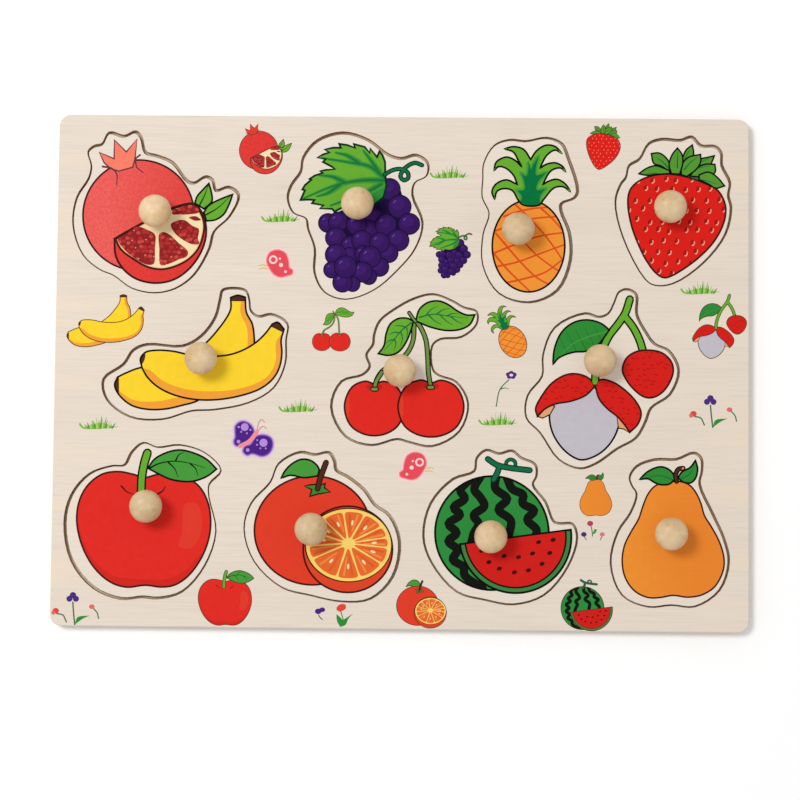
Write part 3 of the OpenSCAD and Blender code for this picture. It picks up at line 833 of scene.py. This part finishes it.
def draw_lychee(p):
    twig = 2.3
    p.shape(corner_loop(
        [(-6, -13.5), (-13, -16.5), (-20, -18.4), (-21, -24), (-19.4, -31), (-15, -37.5), (-10, -41.2),
         (-6.5, -42), (0, -39.6), (5, -35), (8.2, -29), (9, -23), (4, -19), (0.4, -14.5), (-1.5, -10.5)]),
        "flesh")
    p.shape(polygon((-26, -23.5), (-21, -18), (-18.8, -19), (-20.8, -22.6), (-24, -24.2)), "salmon", 0.5)
    p.shape(polygon((8, -23.5), (11.8, -26.4), (13.4, -30.2), (11, -28.6), (8.7, -28.2)), "salmon", 0.5)
    p.branch([(-1.4, -8.4), (-1.2, -4), (1, 4), (4.4, 11.5), (8.5, 17), (11.4, 21.5), (13.4, 27.6)],
             twig, "leaf", line_width=0.7)
    p.branch([(11.2, 20.2), (15, 15.2), (17.6, 10), (19, 5.6)], twig, "leaf", line_width=0.7)
    p.stroke([(8.5, 17), (11.4, 21.5), (12.6, 24.5)], twig, "leaf")
    peels = (
        corner_loop(
            [(-4, -6.9), (-9, -5), (-14, -5.4), (-20, -9), (-24.6, -15), (-27, -20.2), (-26.2, -23.4)],
            [(-23, -20.2), (-18.5, -18), (-12, -16.8), (-5.5, -14.2), (-1.5, -10.2)]),
        corner_loop(
            [(1, -7.3), (6, -8.3), (11.2, -11.6), (16, -16.5), (18.4, -21.6), (17, -26.4), (13.5, -30)],
            [(11.5, -27), (8.4, -23.4), (3.6, -19.6), (0.2, -15.4), (-1.4, -9.6)]),
        round_loop(
            (10.3, -3), (12, 2), (16, 4.8), (21, 5.6), (27, 4.6), (31, 1.2), (32.2, -3), (30.5, -8.5),
            (27, -13), (22.6, -15), (19, -14.3), (14.5, -10.6), (11.6, -6.6)),
    )
    for number, peel in enumerate(peels):
        area = p.shape(peel, "lychee", line_ink="bark")
        p.scatter(area, 2.4, ("lychee_dark", "lychee_dark", "lychee"), 0.9, 0.3, 20 + number)
    p.stroke([(-1.2, -5), (-1.5, -8.4)], twig, "leaf")
    ribs = [[(x + 2, 5.6 + 0.2 * x), (x, 10 + 0.2 * x), (x - 3, 15.6 + 0.2 * x)] for x in range(-15, 3, 4)]
    blade = p.leaf("leaf_deep", [(1, 17), (-5, 18.5), (-11, 17.2), (-16, 13), (-19, 6), (-19.7, -1)],
                   [(-17, 2), (-11, 4.4), (-5, 5), (0, 8), (4.6, 14.2)], veins=ribs, vein_width=0.4)
    p.stroke([(4, 13.5), (-5, 11), (-12, 7.4), (-18, 1)], 0.7, "leaf_mid", 0.3, blade)


def draw_apple(p):
    body = p.shape(round_loop(
        (-31, -6), (-29.8, 3), (-26, 9.6), (-20, 14), (-13, 15), (-7, 13.9), (-2, 12.6), (4, 14), (11, 13.6),
        (18, 11.6), (22.4, 8), (25.8, 1), (26.8, -8), (25.4, -16), (22, -23.6), (17, -30), (11.4, -33.6),
        (6, -34.4), (-1, -33.7), (-9, -34.6), (-16, -32.5), (-23, -26.5), (-28.5, -17)), "apple",
        line_ink="bark")
    p.fill(corner_loop(
        [(-30.4, -8), (-26.6, -18), (-21, -25.4), (-14, -30), (-4, -31), (8, -31), (16, -27.4), (23, -20),
         (28, -20)], [(14, -38), (-18, -38), (-36, -18), (-34, 2)]), "apple_dark", body)
    p.fill(round_loop(
        (15.6, 1.4), (20.4, 1.6), (23, -4.6), (22.2, -12.4), (18.4, -17.6), (13.4, -17), (14.6, -10.6),
        (14.6, -4.6)), "apple_light", body)
    p.stroke([(-12, 8.8), (-9.6, 6.4), (-6.5, 5.2)], 0.8, "bark", 0.3)
    p.stroke([(3.6, 5.4), (6, 7), (7, 8.9)], 0.8, "bark", 0.3)
    p.branch([(-3.4, 6.5), (-3.2, 13), (-2.2, 19), (-1, 23.2)], 2.6, "leaf", line_width=0.7)
    p.leaf("leaf_mid", [(2, 20.4), (7, 23.3), (13, 24.6), (20, 23), (25, 20.4), (29, 16.5)],
           [(25, 13.4), (19.5, 11.3), (15, 11), (9, 12), (4, 14.2), (-0.6, 16.6)],
           veins=([(0, 16.6), (4, 18.6), (10, 19.7), (17, 19), (24, 17)],
                  [(8, 19.3), (11, 16.4), (12.4, 12.8)], [(11.3, 20), (12.6, 22.5), (15, 23.7)],
                  [(17.5, 18.8), (20, 16.5), (21, 13.6)]),
           vein_ink="outline")


def draw_orange(p):
    p.shape(ellipse(0.2, -0.4, 25.1, 23.4, sides=72), "orange", line_ink="bark")
    p.leaf("leaf_mid", [(2.6, 26), (-0.6, 29.4), (-5, 30.1), (-9.5, 27.8), (-12.2, 24.8), (-13.7, 21.9)],
           [(-9.6, 23.2), (-4, 22.2), (2, 23)])
    p.shape(polygon(
        (-3.6, 18.6), (-0.4, 17.1), (-1.2, 14.2), (2.4, 15.3), (7.6, 16.1), (5, 18), (5.3, 19.8), (3.4, 19),
        (1.4, 19.4), (-1.4, 19.1)), "leaf_deep", 0.7, "bark")
    p.branch([(2.1, 17.4), (3, 21.4), (5.6, 28.8)], 1.4, "tip", "bark", 0.6)
    p.shape(ellipse(15.4, -8.4, 19.2, 18.5, sides=64), "peel", 0.8, "bark")
    p.dot("bark", 15.6, -6.6, 18.8, 16, sides=64)
    middle, rx, ry = Vector((15.7, -6.6)), 18.3, 15.5
    p.dot("zest", *middle, rx, ry, sides=64)
    core = Vector((15.6, -5.8))

    def spot(angle, share):
        a = math.radians(angle)
        rim = middle + 0.92 * Vector((rx * math.cos(a), ry * math.sin(a)))
        return core.lerp(rim, share)

    walls = (-178, -155, -107, -73, -33, -4, 14, 34, 66, 98, 130, 157, 182)
    gap = 1.5
    for k, (a, b) in enumerate(zip(walls, walls[1:])):
        area = p.fill(round_loop(
            spot((a + b) / 2, 0.16), spot(a + 2 * gap, 0.5), spot(a + gap, 0.9), spot(a + 2 * gap, 0.98),
            spot((a + b) / 2, 1.0), spot(b - 2 * gap, 0.98), spot(b - gap, 0.9), spot(b - 2 * gap, 0.5)),
            "segment")
        p.stroke([spot(0.65 * a + 0.35 * b, 0.4), spot(0.7 * a + 0.3 * b, 0.92)], 0.5, "segment_light",
                 0.9, area)
        p.stroke([spot(0.4 * a + 0.6 * b, 0.35), spot(0.3 * a + 0.7 * b, 0.9)], 0.4, "segment_dark",
                 0.9, area)
        if b - a > 25 or k % 2:
            x, y = spot((a + b) / 2, 0.66)
            p.dot("pith", x, y, 1.2, 0.5, (a + b) / 2, 12, within=area)
    p.dot("zest", *core, 1.7, 1.5, sides=12)


def draw_watermelon(p):
    ball = p.shape(ellipse(0.7, 1.7, 24.4, sides=72), "melon", 0.9)
    stripes = (
        [(-9, 24.6), (-13, 19.8), (-11, 16.4), (-15.8, 12.5), (-13, 9.4), (-18, 5.5), (-14.4, 1.6),
         (-18, -2), (-14, -5.6), (-16, -9.8), (-11.4, -13), (-10.8, -16.6), (-3, -22)],
        [(-4, 26.6), (-7, 20.4), (-4.4, 17), (-2.6, 13.2), (-7.2, 9.2), (-5, 5.6), (-7, 1.6), (-8.2, -3)],
        [(2.6, 27), (2, 21), (7.2, 16.4), (3.4, 11.8), (8.8, 7.2), (8, 1)],
        [(7, 25.6), (9.2, 20.8), (14, 18.2), (13.8, 14.6), (18.8, 11.5), (15.8, 7.6), (19.8, 3.4),
         (19.4, 0)],
    )
    for stripe in stripes:
        p.stroke(stripe, 3.7, "melon_dark", within=ball)
    p.branch([(1.2, 24.6), (3, 28), (3.6, 30.4)], 1.7, "vine", "vine_dark", 0.5)
    p.branch([(6.6, 30.2), (6.8, 32.4), (8.6, 33.4), (10.4, 32.4), (10.4, 30.4), (9, 29.7)],
             0.9, "vine", "vine_dark", 0.4)
    p.branch([(-1.3, 33.5), (2.6, 31), (8, 29.8), (16.8, 28.8)], 1.7, "vine", "vine_dark", 0.5)
    p.stroke([(2.6, 26.6), (3.4, 29.4)], 1.7, "vine")
    middle, tilt, steps = Vector((10.8, 0.1)), 8, 40
    angles = [math.radians(tilt - 180 * k / steps) for k in range(steps + 1)]

    def half_disc(radius):
        return [middle + radius * Vector((math.cos(a), math.sin(a))) for a in angles]

    p.shape(half_disc(24), "rind_green", 0.9)
    red = p.shape(half_disc(21.7), "melon_flesh", 0.7)
    pips = (
        (20.8, -2), (27, -1), (25.6, -6.6), (18.2, -6.9), (12.2, -8.5), (6, -8.1), (-3.6, -6), (-0.5, -10.8),
        (4, -13.5), (10.5, -15), (16.5, -14.1), (22.3, -11.3),
    )
    for x, y in pips:
        p.dot("pip", x, y, 1.15, 0.85, 20, 12, within=red)


def draw_pear(p):
    p.shape(round_loop(
        (3.5, 22.7), (-1, 22), (-5.6, 20.8), (-8.8, 17.4), (-11, 12.4), (-13, 6.4), (-16, 1.2), (-19, -5),
        (-20, -12), (-18.6, -19), (-14.6, -24.5), (-9, -27.2), (-4, -27.2), (1.8, -26.2), (8, -26.9),
        (14, -25.9), (19.5, -22.4), (23, -16), (23.6, -10.5), (21.6, -3.2), (18, 3.5), (15.2, 8),
        (13.6, 13.4), (11.4, 18), (8.4, 21.3)), "pear", 0.7, "bark")
    p.leaf("leaf_deep", [(1.6, 26), (-0.6, 28), (-4, 28.8), (-9, 26.8), (-12.7, 23.3)],
           [(-9, 23.6), (-6.5, 22.2), (-4, 21.2), (0, 21.4), (2.6, 23.6)],
           veins=([(1.4, 23.4), (-4, 25), (-10, 24)],))
    p.leaf("leaf_deep", [(5.6, 26.8), (9, 28.6), (11.3, 31.7)],
           [(12.2, 28), (11.2, 23.8), (9, 22), (6, 22.4), (3.8, 24.2)],
           veins=([(5, 23.6), (9, 26), (11, 30)],))
    p.branch([(3.2, 22.6), (2.8, 25.5), (4, 27.8), (6, 28.3)], 1.2, "tip")
    p.dot("segment_light", 5.9, 28.2, 0.6, 0.4, 60, 10)


# Small motifs of the board, about their middle
def draw_grass(p):
    p.stroke([(-8.4, -0.6), (-7.2, -2), (-4, -2.4), (0, -2.3), (5, -1.9), (8, -1.5)], 0.9, "grass", 0.2)
    p.fill(corner_loop([(-4.6, -1.2), (-1.4, -0.2), (2, 0), (5, -1.2), (7, -1.6)],
                       [(0, -2.6), (-7, -2.4)]), "grass")
    blades = (
        (-5.6, -6.4, -0.6), (-4.6, -5.2, 0.2), (-3.6, -4.2, -0.2), (-2.8, -3.2, 1.2), (-1.8, -2.6, 0.8),
        (-1, -1.4, 2.6), (-0.2, -0.2, 1.4), (0.6, 1, 3), (1.4, 1.4, 1.8), (2, 3, 2.6), (2.8, 3.4, 1.2),
        (3.6, 4.8, 1), (4.6, 5.4, -0.2), (5.6, 7, 0),
    )
    for number, (root, tip, height) in enumerate(blades):
        p.stroke([(root, -2), (tip, height)], 0.9, ("grass", "grass_dark", "grass_pale")[number % 3], 0.15)


def draw_butterfly(p):
    wings = (
        round_loop((-8.2, 4.8), (-6.6, 6.4), (-4.7, 6.7), (-2.3, 5.6), (-0.7, 3.1), (-0.7, 0.2),
                   (-3.1, -2.3), (-5.9, -3.4), (-8.1, -3.3), (-8.8, -1.8), (-8.2, 0), (-8.3, 2.4)),
        round_loop((1.1, 0.5), (4.2, 0.9), (6.7, -0.2), (7.6, -2.3), (7.2, -4.9), (5.6, -7), (3.1, -7.8),
                   (0.5, -7), (-1.3, -6.7), (-3.1, -7.4), (-4.7, -6), (-4.1, -4.1), (-1.6, -3.1),
                   (-0.2, -0.9)),
    )
    for spread, ink in ((1.3, "halo"), (0.7, "violet_pale"), (0.3, "violet_soft"), (-0.1, "violet")):
        for wing in wings:
            p.fill(grown(wing, spread), ink)
    p.stroke([(-6.3, -3.8), (-2.3, -1.6), (0.9, 2.5)], 1.8, "pink_soft")
    p.stroke([(0.9, 3.1), (1.6, 6.2), (2.7, 7.8), (4.2, 6.7)], 0.4, "feeler_pink")
    p.stroke([(1.6, 3.1), (2.6, 4.4), (3.8, 4.9), (4.9, 4)], 0.4, "feeler_pink")
    spots = (
        (-4.4, 4.5, 1.7), (3.8, -2.2, 1.75), (-7, 4.5, 0.5), (-1.9, 3.3, 0.45), (-5.9, 2.4, 0.4),
        (-3.4, 1.8, 0.4), (-7, -1.8, 0.8), (-3, -5.4, 0.8), (1.1, -1.1, 0.4), (1, -3.1, 0.4),
        (2.5, -4.6, 0.4), (4.8, -4.6, 0.4),
    )
    for x, y, r in spots:
        p.dot("violet_pale", x, y, r, sides=20)


def draw_moth(p):
    wing = round_loop(
        (-5.8, 1.5), (-4.3, 5.2), (-0.7, 6.3), (2.6, 4.8), (4, 1.2), (4.4, -1.4), (5.8, -2.6), (5.5, -4.4),
        (3.4, -5.2), (0.5, -5.8), (-2.2, -4.8), (-4.2, -2.4))
    for spread, ink in ((0.6, "pink_pale"), (0.2, "pink_soft"), (-0.3, "pink")):
        p.fill(grown(wing, spread), ink)
    spots = (
        (-2.8, 1.9, 1.9, "pink_pale"), (-2.8, 1.9, 1.1, "pink"), (0.1, 2.4, 0.5, "pink_pale"),
        (0.6, -0.4, 0.9, "pink_pale"), (2.6, -3.3, 0.6, "pink_pale"),
    )
    for x, y, r, ink in spots:
        p.dot(ink, x, y, r, sides=20)
    p.stroke([(-5.6, -0.8), (-7.4, -0.4), (-9, -0.7)], 0.6, "feeler", 0.4)
    p.stroke([(-5.4, -2), (-7.2, -1.8), (-8.8, -2.3)], 0.6, "feeler", 0.4)


def draw_flower(p):
    p.stroke([(2.4, 4.4), (-1.4, 0.2), (-3, -7.2)], 0.45, "stalk")
    p.stroke([(-1.4, 0.2), (0.6, 0.8), (2.4, 0.4)], 0.5, "stalk", 0.2)
    for k in range(5):
        a = math.radians(90 + 72 * k)
        p.dot("petal", 3.4 + 1.3 * math.cos(a), 6.4 + 0.9 * math.sin(a), 1.1, 0.9, sides=16)
    p.dot("pink_pale", 3.4, 6.4, 0.8, 0.6, sides=12)


def draw_trio(p):
    p.stroke([(-0.2, 4.5), (0.2, 0), (0.8, -5)], 0.6, "stalk")
    p.stroke([(-7, -0.4), (-4.4, -1), (-2.8, -4)], 0.55, "stalk")
    p.stroke([(8.7, 2), (10.4, 0), (11, -2.3)], 0.5, "stalk")
    p.fill(corner_loop([(2, -1.9), (7.2, -1.1)], [(4.4, -2.4), (0.8, -5)]), "leaf_deep")
    for x, y, r in ((-0.2, 7.5, 1.4), (-1.7, 6, 1.3), (1.1, 6, 1.3)):
        p.dot("petal", x, y, r, sides=16)
    p.dot("bud", -7.5, 0.8, 1.4, 1.2, sides=16)
    p.dot("bud_soft", -8.5, 0, 0.9, sides=12)
    p.dot("bud_soft", 8, 2.7, 1.2, 1, sides=16)


def draw_pair(p):
    p.stroke([(-5.4, -1.4), (-4.6, -2.6), (-3.8, -3.2)], 0.45, "stalk")
    p.dot("violet", -5.6, 0.2, 1.4, 1.2, sides=16)
    p.dot("violet", -3.9, 0.9, 1.3, 1, sides=16)
    p.stroke([(4, 0.6), (4.8, -2), (5.4, -4)], 0.4, "stalk")
    p.fill(round_loop((2.2, 1.2), (2.8, 2.6), (4.2, 3.4), (6, 3.2), (6.2, 1.6), (5, 0.6), (3.4, 0.2)), "bud")
    p.fill(corner_loop([(3.4, -1.8), (2.2, -1)], [(2.6, -4), (4, -6.4)],
                       [(6.2, -5.4), (7.4, -2.8), (9.4, -0.6)], [(6.6, -2.4), (5, -3.4)]), "leaf_deep")


def draw_sprigs(p):
    p.stroke([(0.2, 2.4), (0.8, 0), (1, -2.4)], 0.4, "stalk")
    p.stroke([(-2.6, -2.6), (-1.6, -4)], 0.35, "stalk")
    p.stroke([(5, -2.6), (4.4, -4)], 0.35, "stalk")
    p.fill(corner_loop([(2, 0.6), (3, 0.4)], [(2.2, -1.2), (1, -1.6)]), "leaf_mid")
    p.dot("rose", 0, 3, 1.3, 1.1, sides=16)
    p.dot("petal", -2.7, -1.7, 1.2, 1, sides=16)
    p.dot("rose_soft", 5.2, -1.6, 1.1, 0.9, sides=16)


def drawn(draw, fine=False):
    picture = Picture(fine)
    draw(picture)
    return picture


# The sheets
sheet("printed_board", "top_board", "board", RIM_ROUND,
      (face_look, backing_look, edge_look, face_look, wall_look, scorch_look))
sheet("backing_sheet", "backing_board", "board", RIM_ROUND,
      (backing_look, backing_look, edge_look, edge_look, edge_look, edge_look))

# The fruit pieces with their prints and pegs; each peg is turned on from the one before it
DRAW = {
    "pomegranate": draw_pomegranate, "grapes": draw_grapes, "pineapple": draw_pineapple,
    "strawberry": draw_strawberry, "banana": draw_banana, "cherries": draw_cherries,
    "lychee": draw_lychee, "apple": draw_apple, "orange": draw_orange,
    "watermelon": draw_watermelon, "pear": draw_pear,
}
PEG_TURN = 47
for number, fruit in enumerate(DRAW):
    sheet(fruit + "_plug", fruit + "_piece", fruit, CUT_ROUND,
          (ground_look, backing_look, wall_look, scorch_look, wall_look, wall_look))
    knob = peg(fruit, PEG_TURN * number)
    print_on(fruit + "_art", drawn(DRAW[fruit]), knob.location.xy / MM, fruit)

# The small prints of the same fruits on the board: middle of the print, scale, turn
SMALL_PRINTS = {
    "pomegranate": (-60, 96.6, 0.35, 0), "strawberry": (86.8, 98.7, 0.348, 0),
    "grapes": (20.9, 51.8, 0.345, 0), "banana": (-128.3, 20.9, 0.458, 0), "cherries": (-29.6, 18, 0.32, 0),
    "pineapple": (45.6, 17.6, 0.36, 30), "lychee": (137.2, 20.7, 0.393, 0),
    "apple": (-74.3, -98.2, 0.397, 0), "orange": (9.7, -100, 0.36, 0), "pear": (84.2, -52.2, 0.315, 0),
    "watermelon": (80.5, -99.7, 0.376, 0),
}
for fruit, (x, y, scale, turn) in SMALL_PRINTS.items():
    picture = drawn(DRAW[fruit], fine=True)
    turned = rotation(turn)
    points = [turned @ p * scale for line, _, within in picture.layers if within is None for p in line]
    x0, x1, y0, y1 = extent(points)
    at = (x - (x0 + x1) / 2, y - (y0 + y1) / 2)
    print_on("small_" + fruit, picture, at, "board", scale, turn)

# The motifs: name, drawing, places; one of them is printed mirrored
MOTIFS = (
    ("grass", draw_grass, (
        (-52.7, 67.2), (20.3, 86.9), (129.1, 37.2), (-130.2, -23.5), (-44.1, -15.4), (42.2, -20.3))),
    ("moth", draw_moth, ((-53.2, 46.2), (5.5, -41.1))),
    ("butterfly", draw_butterfly, ((-62.9, -29.2),)),
    ("flower", draw_flower, ((44.1, -7.6),)),
    ("flower_trio", draw_trio, ((133.5, -18), (-140, -105.3))),
    ("flower_pair", draw_pair, ((-29, -103.8),)),
    ("sprigs", draw_sprigs, ((81.8, -67.8),)),
)
MIRRORED = "moth_2"
for motif, draw, places in MOTIFS:
    for number, place in enumerate(places, 1):
        name = f"{motif}_{number}" if len(places) > 1 else motif
        print_on(name, drawn(draw), place, "board", mirror=name == MIRRORED)

# Floor, light and camera, in metres
FLOOR_HALF = 3.0
FLOOR_DROP = 0.0005
scene = bpy.context.scene
floor = bmesh.new()
bmesh.ops.create_grid(floor, x_segments=1, y_segments=1, size=FLOOR_HALF)
floor_data = bpy.data.meshes.new("floor")
floor.to_mesh(floor_data)
floor.free()
floor_look = Look("pale_floor", 0.8, 0.0)
floor_look.colour((0.98, 0.98, 0.98, 1.0))
floor_data.materials.append(floor_look.material)
floor_object = bpy.data.objects.new("floor", floor_data)
floor_object.location.z = -FLOOR_DROP
scene.collection.objects.link(floor_object)

scene.view_settings.view_transform = "Standard"
world = bpy.data.worlds.new("studio")
world.use_nodes = True
sky = world.node_tree.nodes["Background"]
sky.inputs["Color"].default_value = (1.0, 1.0, 1.0, 1.0)
sky.inputs["Strength"].default_value = 0.68
scene.world = world

key = bpy.data.lights.new("key", "AREA")
key.shape = "DISK"
key.size = 0.5
key.energy = 12.1
key_object = bpy.data.objects.new("key", key)
key_object.location = (-0.6, 0.32, 1.5)
key_object.rotation_euler = (-key_object.location).to_track_quat("-Z", "Y").to_euler()
scene.collection.objects.link(key_object)

camera = bpy.data.cameras.new("camera")
camera.sensor_width = 36.0
camera.lens = 103.6
camera.clip_start = 0.01
camera_object = bpy.data.objects.new("camera", camera)
camera_object.matrix_world = (
    Matrix.Translation((0.0158, -0.0785, 0.9971))
    @ Matrix.Rotation(0.0666, 4, "X")
    @ Matrix.Rotation(0.0163, 4, "Y")
    @ Matrix.Rotation(0.0089, 4, "Z")
)
scene.collection.objects.link(camera_object)
scene.camera = camera_object
